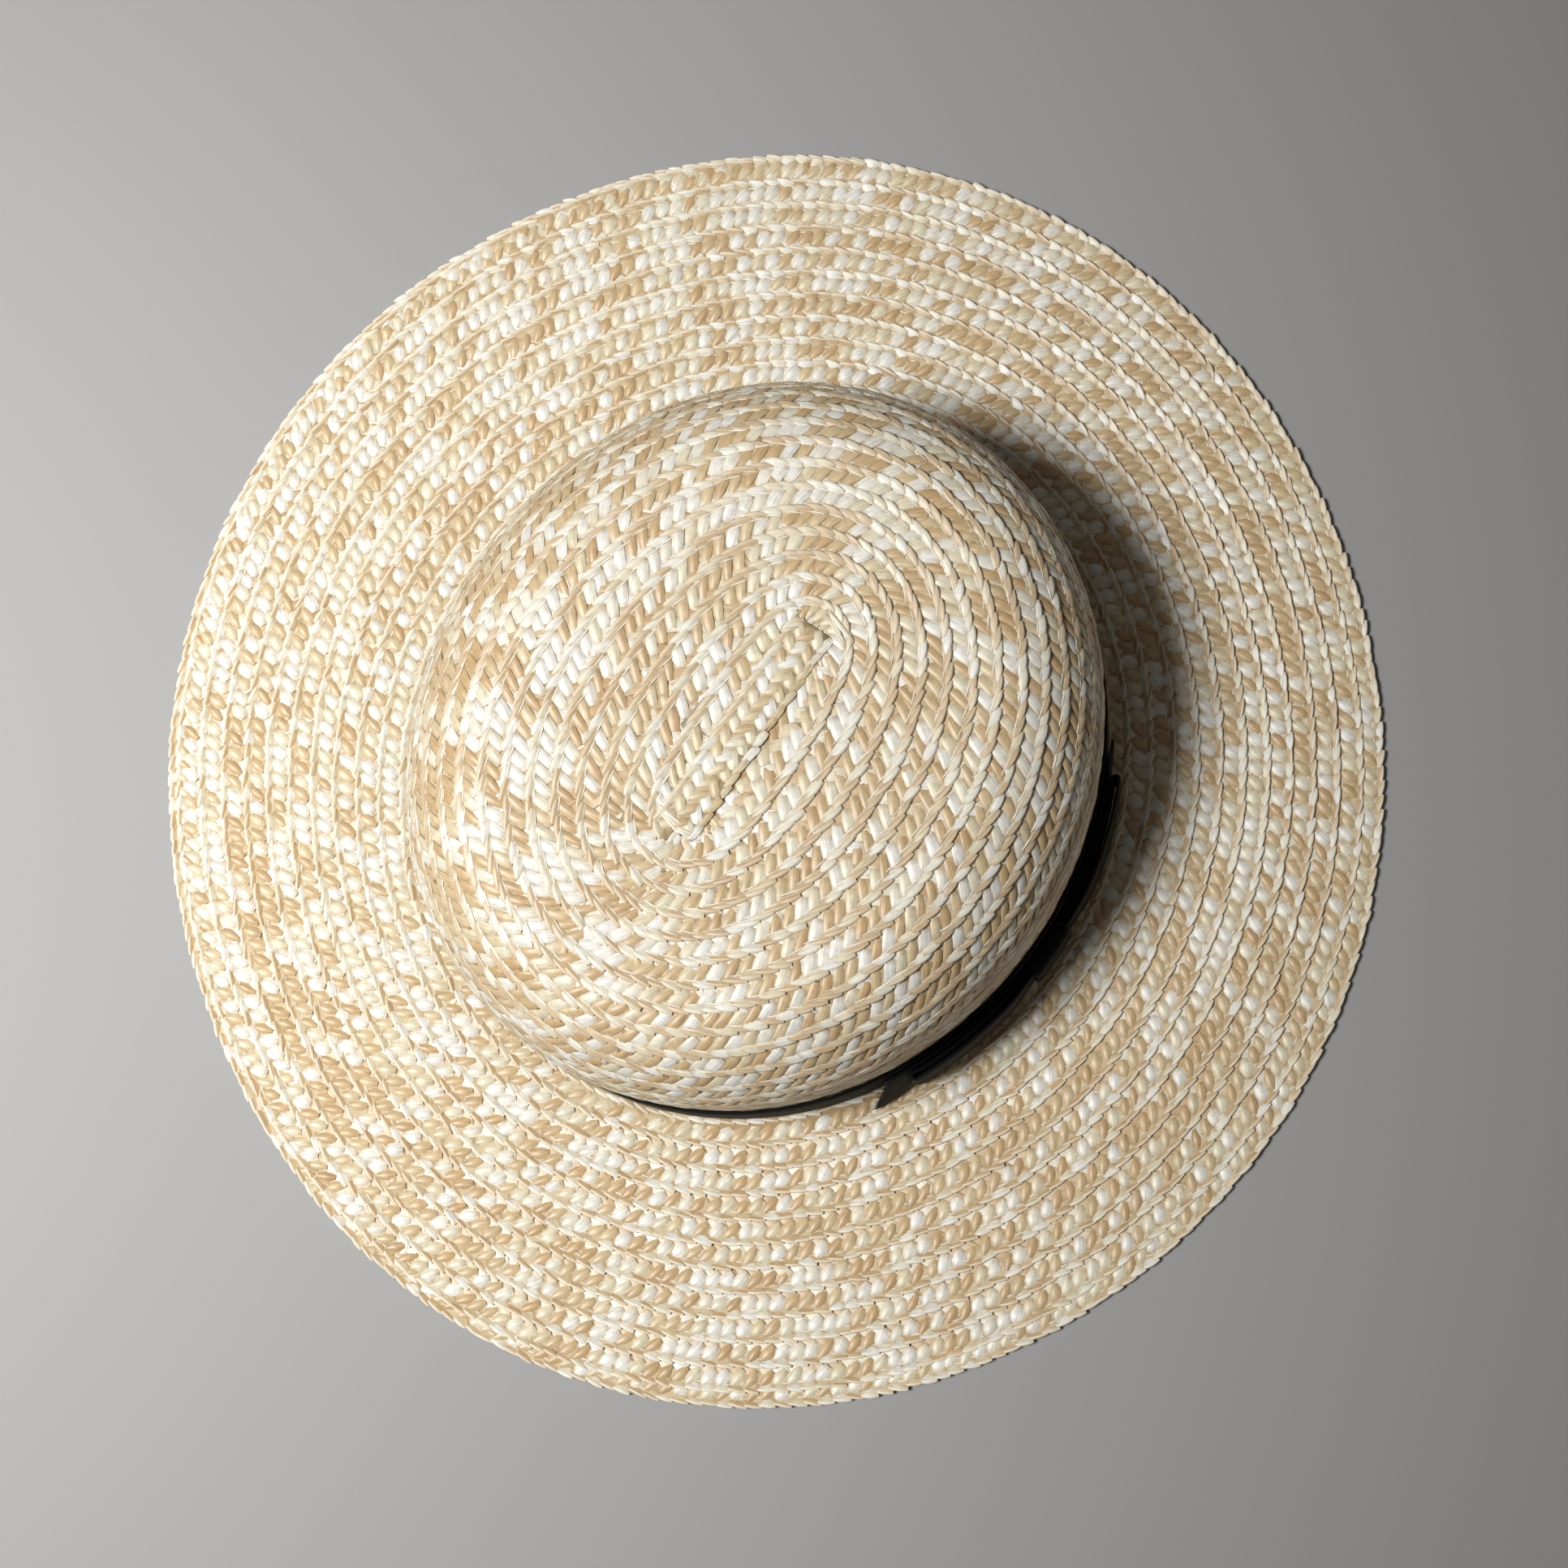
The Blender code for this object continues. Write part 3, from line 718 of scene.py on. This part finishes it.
# The turn where the inner strip, which trails the outer one by its width, leaves the crown
INNER_FOOT = CROWN_TURNS + 0.9
INNER_PARTS = (
    {"piece": "crown_inside_tip", "from": 0.35, "to": 12.5},
    {"piece": "crown_inside_wall", "from": 12.5, "to": INNER_FOOT},
    {"piece": "brim_under_inner", "from": INNER_FOOT, "to": 28.8},
    {"piece": "brim_under_outer", "from": 28.8, "to": 34.4},
)
inner_total = int(inner_strip["along"][-1] / STITCH)
inner_stitches = np.arange(1, inner_total)
inner_turns = np.interp(inner_stitches * STITCH, inner_strip["along"], inner_strip["turn"])
for part in INNER_PARTS:
    own = inner_stitches[(inner_turns >= part["from"]) & (inner_turns < part["to"])]
    batches = [straw_batch(on_inner, column, own, tones, draw) for column in INNER_COLUMNS]
    piece = straw_piece(part["piece"], batches, straw)
    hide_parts("brim" if part["from"] >= INNER_FOOT else "crown")

# The hat band: a black ribbon 25 mm wide with fine upright ribs, drawn round the foot of the crown's wall
# and caught to the straw with hidden stitches. Its ends meet under the bow.
band_low, band_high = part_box("hat_band")
BAND_FOOT = band_low.z
BAND_HEIGHT = band_high.z - band_low.z
BAND_MIDDLE = BAND_FOOT + BAND_HEIGHT / 2
SEAT_GAP = 0.0003
CLOTH = 0.0010
RIBBON = 0.0008
RIB_PITCH = 0.00078
RIB_DEPTH = 0.00011
RIB_STEPS = 4
RIBBON_COLOUR = (0.0055, 0.0055, 0.0065, 1.0)
WALL_TAN = WALL_LEAN / (WALL_TOP - CROWN_FOOT)


def on_wall(angle, height, stand):
    """Points off the crown's wall: an angle round the oval, a height, and a distance from the straw.

    The half width grows evenly down the wall by its lean, and the distance is added to it.
    """
    angle, height, stand = np.broadcast_arrays(angle, height, stand)
    half_width = TIP_HALF_WIDTH + SHOULDER_RADIUS + (WALL_TOP - height) * WALL_TAN + stand
    share = (WALL_TOP - height) / (WALL_TOP - CROWN_FOOT)
    x, y = head_oval(half_width, TIP_HALF_WIDTH + SHOULDER_WALK + share * WALL_WALK, angle)
    return np.stack((x, y, height), axis=-1)


band_turn = np.linspace(-np.pi, np.pi, 2881)
band_plan = on_wall(band_turn, BAND_MIDDLE, SEAT_GAP + CLOTH)
band_walk = np.concatenate(([0.0], np.cumsum(np.linalg.norm(np.diff(band_plan, axis=0), axis=1))))
band_length = band_walk[-1]


def on_band(along, height, stand):
    """Points at distances along the band from the middle of the bow, a height and a distance off the wall."""
    return on_wall(np.interp(along, band_walk - band_length / 2, band_turn), height, stand)


def ribs(phase):
    """Height of the ribs from valley to crest, 0 to 1: the size of a cosine, one crest a rib."""
    return np.abs(np.cos(np.pi * phase))


def ribbon_finish():
    """Matt black ribbed ribbon of one colour, with a faint sheen of the weave."""
    material = plain_finish("black_ribbed_ribbon", RIBBON_COLOUR, 0.78)
    shader = material.node_tree.nodes["Principled BSDF"]
    shader.inputs["Specular IOR Level"].default_value = 0.16
    shader.inputs["Sheen Weight"].default_value = 0.02
    shader.inputs["Sheen Roughness"].default_value = 0.5
    return material


def ribbon_piece(name, rings, closed):
    """A ribbon from rings of points round its section, one ring every quarter rib along it."""
    piece = mesh_piece(name, rings.reshape(-1, 3), *skin_rings(rings, closed), ribbon_cloth)
    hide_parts(name.removesuffix("_ribbon"))
    return piece


ribbon_cloth = ribbon_finish()
band_ribs = round(band_length / RIB_PITCH)
band_along = np.linspace(-0.5, 0.5, band_ribs * RIB_STEPS, endpoint=False)[:, None] * band_length
band_rib = RIB_DEPTH * ribs(band_along / band_length * band_ribs)
band_across = np.array((0.0, 0.04, 0.5, 0.96, 1.0, 1.0, 0.0))[None, :]
band_face = np.array((0.55, 0.95, 1.0, 0.95, 0.55, 0.0, 0.0))[None, :]
band_rings = on_band(
    band_along,
    BAND_FOOT + BAND_HEIGHT * band_across,
    SEAT_GAP + (RIBBON + band_rib) * band_face,
)
band = ribbon_piece("hat_band_ribbon", band_rings, True)

# The tails: one length of the same ribbon laid flat along the band, its two ends cut on a slant. In
# front of the loops its lower edge stands off the band, as a stiff ribbon's does. Behind it lies close.
BOW_HEIGHT = 0.0225
PINCHED_HEIGHT = 0.0165
PINCH_WIDTH = 0.012
KNOT_WIDTH = 0.015
TAIL_REACH = 0.061
TAIL_SLANT = 0.007
TAIL_FLARE = 0.0040
TAIL_FLARE_BACK = 0.0003
TAIL_SPRING = 0.3
LOOP_REACH = 0.049
TAIL_BACK = SEAT_GAP + CLOTH + SEAT_GAP
TAIL_SKEW_FROM = 0.042
TAIL_SKEW_EASE = 1.4


def bow_half_height(along):
    """Half the ribbon's height along the bow: gathered under the knot, and eased to full beyond it."""
    way = np.clip((np.abs(along) - KNOT_WIDTH / 2) / PINCH_WIDTH, 0.0, 1.0)
    full = way * way * (3 - 2 * way)
    return (PINCHED_HEIGHT + (BOW_HEIGHT - PINCHED_HEIGHT) * full) / 2


tail_ribs = round(2 * TAIL_REACH / RIB_PITCH)
tail_way = np.linspace(-1, 1, tail_ribs * RIB_STEPS + 1)[:, None]
tail_across = np.array((0.0, 0.05, 0.33, 0.67, 0.95, 1.0, 1.0, 0.67, 0.33, 0.0))[None, :]
tail_face = np.array((0.55, 0.95, 1.0, 1.0, 0.95, 0.55, 0.0, 0.0, 0.0, 0.0))[None, :]
tail_plain = tail_way * TAIL_REACH
skewed = np.clip((np.abs(tail_plain) - TAIL_SKEW_FROM) / (TAIL_REACH - TAIL_SKEW_FROM), 0.0, 1.0)
tail_along = tail_plain - np.sign(tail_way) * TAIL_SLANT * tail_across * skewed**TAIL_SKEW_EASE
tail_loose = np.clip((np.abs(tail_along) - LOOP_REACH) / (TAIL_REACH - LOOP_REACH), 0.0, 1.0)
tail_flare = np.where(tail_along > 0, TAIL_FLARE_BACK, TAIL_FLARE)
tail_rib = RIB_DEPTH * ribs(tail_way * tail_ribs / 2)
tail_stand = TAIL_BACK + tail_flare * tail_loose**TAIL_SPRING * (1 - tail_across)
tail_rings = on_band(
    tail_along,
    BAND_MIDDLE + bow_half_height(tail_along) * (2 * tail_across - 1),
    tail_stand + (RIBBON + tail_rib) * tail_face,
)
tails = ribbon_piece("bow_tails_ribbon", tail_rings, False)

# The threads come loose at the cut end of the front tail: the ribbon's own yarn, fine and round, each rooted
# inside the cut edge and bent its own way. It is coloured grey where it frays, a painted sheen of the loose
# fibres on the black yarn.
FRAY_THREADS = 70
YARN_RADIUS = 0.00008
YARN_STEPS = 5
YARN_SIDES = 4
YARN_ROOT = 0.0006
YARN_LENGTHS = (0.0004, 0.0022)
YARN_CURL = 0.0005
YARN_SHEEN_COLOUR = (0.045, 0.043, 0.042, 1.0)
yarn_way = np.linspace(0, 1, YARN_STEPS)[None, :]
yarn_share = np.linspace(0.03, 0.97, FRAY_THREADS)[:, None]
yarn_long = draw.uniform(*YARN_LENGTHS, (FRAY_THREADS, 1))
yarn_bend = draw.normal(0, YARN_CURL, (2, FRAY_THREADS, 1)) * yarn_way**2
yarn_along = TAIL_SLANT * yarn_share - TAIL_REACH + YARN_ROOT - (yarn_long + YARN_ROOT) * yarn_way
yarn_height = BAND_MIDDLE + BOW_HEIGHT * (yarn_share - 0.5) + yarn_bend[0]
yarn_depth = RIBBON * draw.uniform(0.2, 0.9, (FRAY_THREADS, 1))
yarn_stand = TAIL_BACK + TAIL_FLARE * (1 - yarn_share) + yarn_depth + yarn_bend[1]
yarn_turn = np.linspace(0, 2 * np.pi, YARN_SIDES, endpoint=False)[None, None, :]
yarn_radius = YARN_RADIUS * (1 - 0.5 * yarn_way)[:, :, None]
yarn_rings = on_band(
    yarn_along[:, :, None],
    yarn_height[:, :, None] + yarn_radius * np.cos(yarn_turn),
    yarn_stand[:, :, None] + yarn_radius * np.sin(yarn_turn),
)
yarn_faces, yarn_sizes = skin_rings(yarn_rings[0])
yarn_starts = np.arange(FRAY_THREADS)[:, None] * YARN_STEPS * YARN_SIDES
yarn_corners = (yarn_starts + yarn_faces[None, :]).ravel()
yarn_sizes = np.tile(yarn_sizes, FRAY_THREADS)
frayed_yarn_sheen = plain_finish("frayed_yarn_sheen", YARN_SHEEN_COLOUR, 0.7)
fray = mesh_piece("tail_fray", yarn_rings.reshape(-1, 3), yarn_corners, yarn_sizes, frayed_yarn_sheen)
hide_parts("bow_tails")

# The loops: a closed length of ribbon pressed flat over the tails, folded at both ends and gathered in
# small pleats where the knot ties it. The back loop swells a little, most of all at its lower edge.
FOLD_GAP = 0.0006
LOOP_BACK = TAIL_BACK + CLOTH + SEAT_GAP
LOOP_FACE = LOOP_BACK + 2 * CLOTH + FOLD_GAP
BACK_LOOP_SWELL = 0.0005
SWELL_EASE = 0.9
SWELL_AT_TOP = 0.10
PLEATS = 3
PLEAT_DEPTH = 0.00028
KNOT_PRESS = 0.0008
PLEAT_RUN = 0.010
loop_fold = (LOOP_FACE - LOOP_BACK) / 2
loop_straight = LOOP_REACH - loop_fold
loop_length = 4 * loop_straight + 2 * np.pi * loop_fold
loop_ribs = round(loop_length / RIB_PITCH)
loop_walk = np.linspace(0, loop_length, loop_ribs * RIB_STEPS, endpoint=False)
loop_corner = np.cumsum((2 * loop_straight, np.pi * loop_fold, 2 * loop_straight, np.pi * loop_fold))
loop_turn = np.clip(loop_walk - loop_corner[0], 0, np.pi * loop_fold)
loop_turn = (loop_turn + np.clip(loop_walk - loop_corner[2], 0, None)) / loop_fold
loop_side = np.clip(loop_walk, 0, loop_corner[0]) - np.clip(loop_walk - loop_corner[1], 0, loop_corner[0])
loop_along = loop_side - loop_straight + (loop_fold - RIBBON / 2) * np.sin(loop_turn)
loop_free = np.clip((np.abs(loop_along) - KNOT_WIDTH / 2) / (loop_straight - KNOT_WIDTH / 2), 0.0, 1.0)
loop_outer = np.clip(np.cos(loop_turn), 0, 1)
loop_swell = np.where(loop_along > 0, BACK_LOOP_SWELL, 0.0) * np.sin(np.pi * loop_free) ** SWELL_EASE
loop_stand = (LOOP_FACE + LOOP_BACK) / 2 + (loop_fold - RIBBON / 2) * np.cos(loop_turn)
loop_across = np.array((0.0, 0.04, 0.2, 0.35, 0.5, 0.65, 0.8, 0.96, 1.0, 1.0, 0.5, 0.0))[None, :]
loop_face = np.array((0.1, 0.45, 0.5, 0.5, 0.5, 0.5, 0.5, 0.45, 0.1, -0.5, -0.5, -0.5))[None, :]
loop_rib = RIB_DEPTH * ribs(loop_walk / loop_length * loop_ribs)[:, None] * (loop_face > 0.4)
near_knot = np.clip(1 - (np.abs(loop_along) - KNOT_WIDTH / 2) / PLEAT_RUN, 0, 1)[:, None]
pleat = PLEAT_DEPTH * (np.cos(2 * np.pi * PLEATS * loop_across) - 1) - KNOT_PRESS
pleat = pleat * near_knot * loop_outer[:, None]
loop_thick = RIBBON * loop_face + loop_rib
loop_lean = (loop_swell * loop_outer)[:, None] * (1 - (1 - SWELL_AT_TOP) * loop_across)
loop_rings = on_band(
    loop_along[:, None] + loop_thick * np.sin(loop_turn)[:, None],
    BAND_MIDDLE + bow_half_height(loop_along)[:, None] * (2 * loop_across - 1),
    loop_stand[:, None] + loop_thick * np.cos(loop_turn)[:, None] + loop_lean + pleat,
)
loops = ribbon_piece("bow_loops_ribbon", loop_rings, True)

# The knot: a short length of ribbon wrapped over the gathered middle of the bow and turned in above and
# below, where it is sewn to the band. Its ribs lie level.
KNOT_ROUND = 0.0016
KNOT_LEAN = 0.0002
KNOT_FACE = LOOP_FACE + SEAT_GAP + CLOTH - KNOT_PRESS
knot_half = PINCHED_HEIGHT / 2 + SEAT_GAP + CLOTH - RIBBON
knot_face = KNOT_FACE - RIBBON
knot_bend = np.linspace(0, np.pi / 2, 7)
bend_height = knot_half - KNOT_ROUND + KNOT_ROUND * np.sin(knot_bend)
bend_stand = knot_face - KNOT_ROUND + KNOT_ROUND * np.cos(knot_bend)
knot_height = np.concatenate(([0.0], bend_height, [knot_half]))
knot_stand = np.concatenate(([knot_face], bend_stand, [TAIL_BACK]))
knot_height = np.concatenate((-knot_height[:0:-1], knot_height))
knot_stand = np.concatenate((knot_stand[:0:-1], knot_stand))
knot_walk = np.concatenate(([0.0], np.cumsum(np.hypot(np.diff(knot_height), np.diff(knot_stand)))))
knot_ribs = round(knot_walk[-1] / RIB_PITCH)
knot_at = np.linspace(0, knot_walk[-1], knot_ribs * RIB_STEPS + 1)
knot_height = np.interp(knot_at, knot_walk, knot_height)
knot_stand = np.interp(knot_at, knot_walk, knot_stand)
knot_out = np.stack((-np.gradient(knot_stand), np.gradient(knot_height)))
knot_out = knot_out / np.hypot(*knot_out)
knot_across = np.array((1.0, 0.92, 0.5, 0.0, -0.5, -0.92, -1.0, -1.0, 0.0, 1.0))[None, :]
knot_skin = np.array((0.55, 0.95, 1.0, 1.0, 1.0, 0.95, 0.55, 0.0, 0.0, 0.0))[None, :]
knot_thick = (RIBBON + RIB_DEPTH * ribs(knot_at / knot_walk[-1] * knot_ribs))[:, None] * knot_skin
knot_out_share = (knot_stand - TAIL_BACK) / (knot_face - TAIL_BACK)
knot_lean = KNOT_LEAN * knot_out_share * (1 - knot_height / knot_half) / 2
knot_rings = on_band(
    KNOT_WIDTH / 2 * knot_across,
    BAND_MIDDLE + knot_height[:, None] + knot_out[0][:, None] * knot_thick,
    (knot_stand + knot_lean)[:, None] + knot_out[1][:, None] * knot_thick,
)
knot = ribbon_piece("bow_knot_ribbon", knot_rings, False)

# The floor: a plain pale sheet under the brim, matt, with nothing else on it. It is stage only, and
# no part of the hat.
FLOOR_COLOUR = (0.36, 0.355, 0.35, 1.0)
FLOOR_HALF = 3.0
floor_material = plain_finish("pale_floor", FLOOR_COLOUR, 0.85)
floor_points = FLOOR_HALF * np.array([(-1, -1, 0), (1, -1, 0), (1, 1, 0), (-1, 1, 0)])
floor_mesh = bpy.data.meshes.new("floor")
floor_mesh.from_pydata([tuple(point) for point in floor_points], [], [(0, 1, 2, 3)])
floor_mesh.materials.append(floor_material)
floor = bpy.data.objects.new("floor", floor_mesh)
bpy.context.scene.collection.objects.link(floor)

# The light: one soft disk lamp high over the brow, on the side away from the bow, with a weak warm
# surround that fills the shadows.
KEY_HEADING = 226.0
KEY_ELEVATION = 64.0
KEY_DISTANCE = 1.40
KEY_SIZE = 0.42
KEY_POWER = 4.0
KEY_SPREAD = 68.0
KEY_AIM = Vector((-0.27, -0.19, 0.0))
heading, elevation = math.radians(KEY_HEADING), math.radians(KEY_ELEVATION)
key_reach = math.cos(elevation)
key_way = Vector((key_reach * math.cos(heading), key_reach * math.sin(heading), math.sin(elevation)))
key_data = bpy.data.lights.new("key", "AREA")
key_data.shape = "DISK"
key_data.size = KEY_SIZE
key_data.energy = KEY_POWER
key_data.spread = math.radians(KEY_SPREAD)
key = bpy.data.objects.new("key", key_data)
key.location = key_way * KEY_DISTANCE
key.rotation_euler = (key.location - KEY_AIM).to_track_quat("Z", "Y").to_euler()
bpy.context.scene.collection.objects.link(key)

SURROUND_COLOUR = (1.0, 0.95, 0.88, 1.0)
SURROUND_STRENGTH = 0.09
world = bpy.data.worlds.new("surround")
world.use_nodes = True
world.node_tree.nodes["Background"].inputs["Color"].default_value = SURROUND_COLOUR
world.node_tree.nodes["Background"].inputs["Strength"].default_value = SURROUND_STRENGTH
bpy.context.scene.world = world
bpy.context.scene.view_settings.view_transform = "Standard"

# The camera: nearly straight above, a little towards the bow and the brow. In its picture the bow lies
# low at the right, and the back of the hat high at the right.
CAMERA_PLACE = Vector((0.0905, -0.0422, 0.7302))
CAMERA_AIM = Vector((0.0065, -0.0016, 0.0))
CAMERA_UP_HEADING = 124.4
FOCAL_SHARE = 3282.6 / 1932
SENSOR = 36.0
look = (CAMERA_AIM - CAMERA_PLACE).normalized()
up_heading = math.radians(CAMERA_UP_HEADING)
up_hint = Vector((math.cos(up_heading), math.sin(up_heading), 0.0))
right = look.cross(up_hint).normalized()
upright = right.cross(look)
camera_data = bpy.data.cameras.new("camera")
camera_data.sensor_width = SENSOR
camera_data.lens = FOCAL_SHARE * SENSOR
camera = bpy.data.objects.new("camera", camera_data)
camera_turn = Matrix((right, upright, -look)).transposed().to_4x4()
camera.matrix_world = Matrix.Translation(CAMERA_PLACE) @ camera_turn
bpy.context.scene.collection.objects.link(camera)
bpy.context.scene.camera = camera
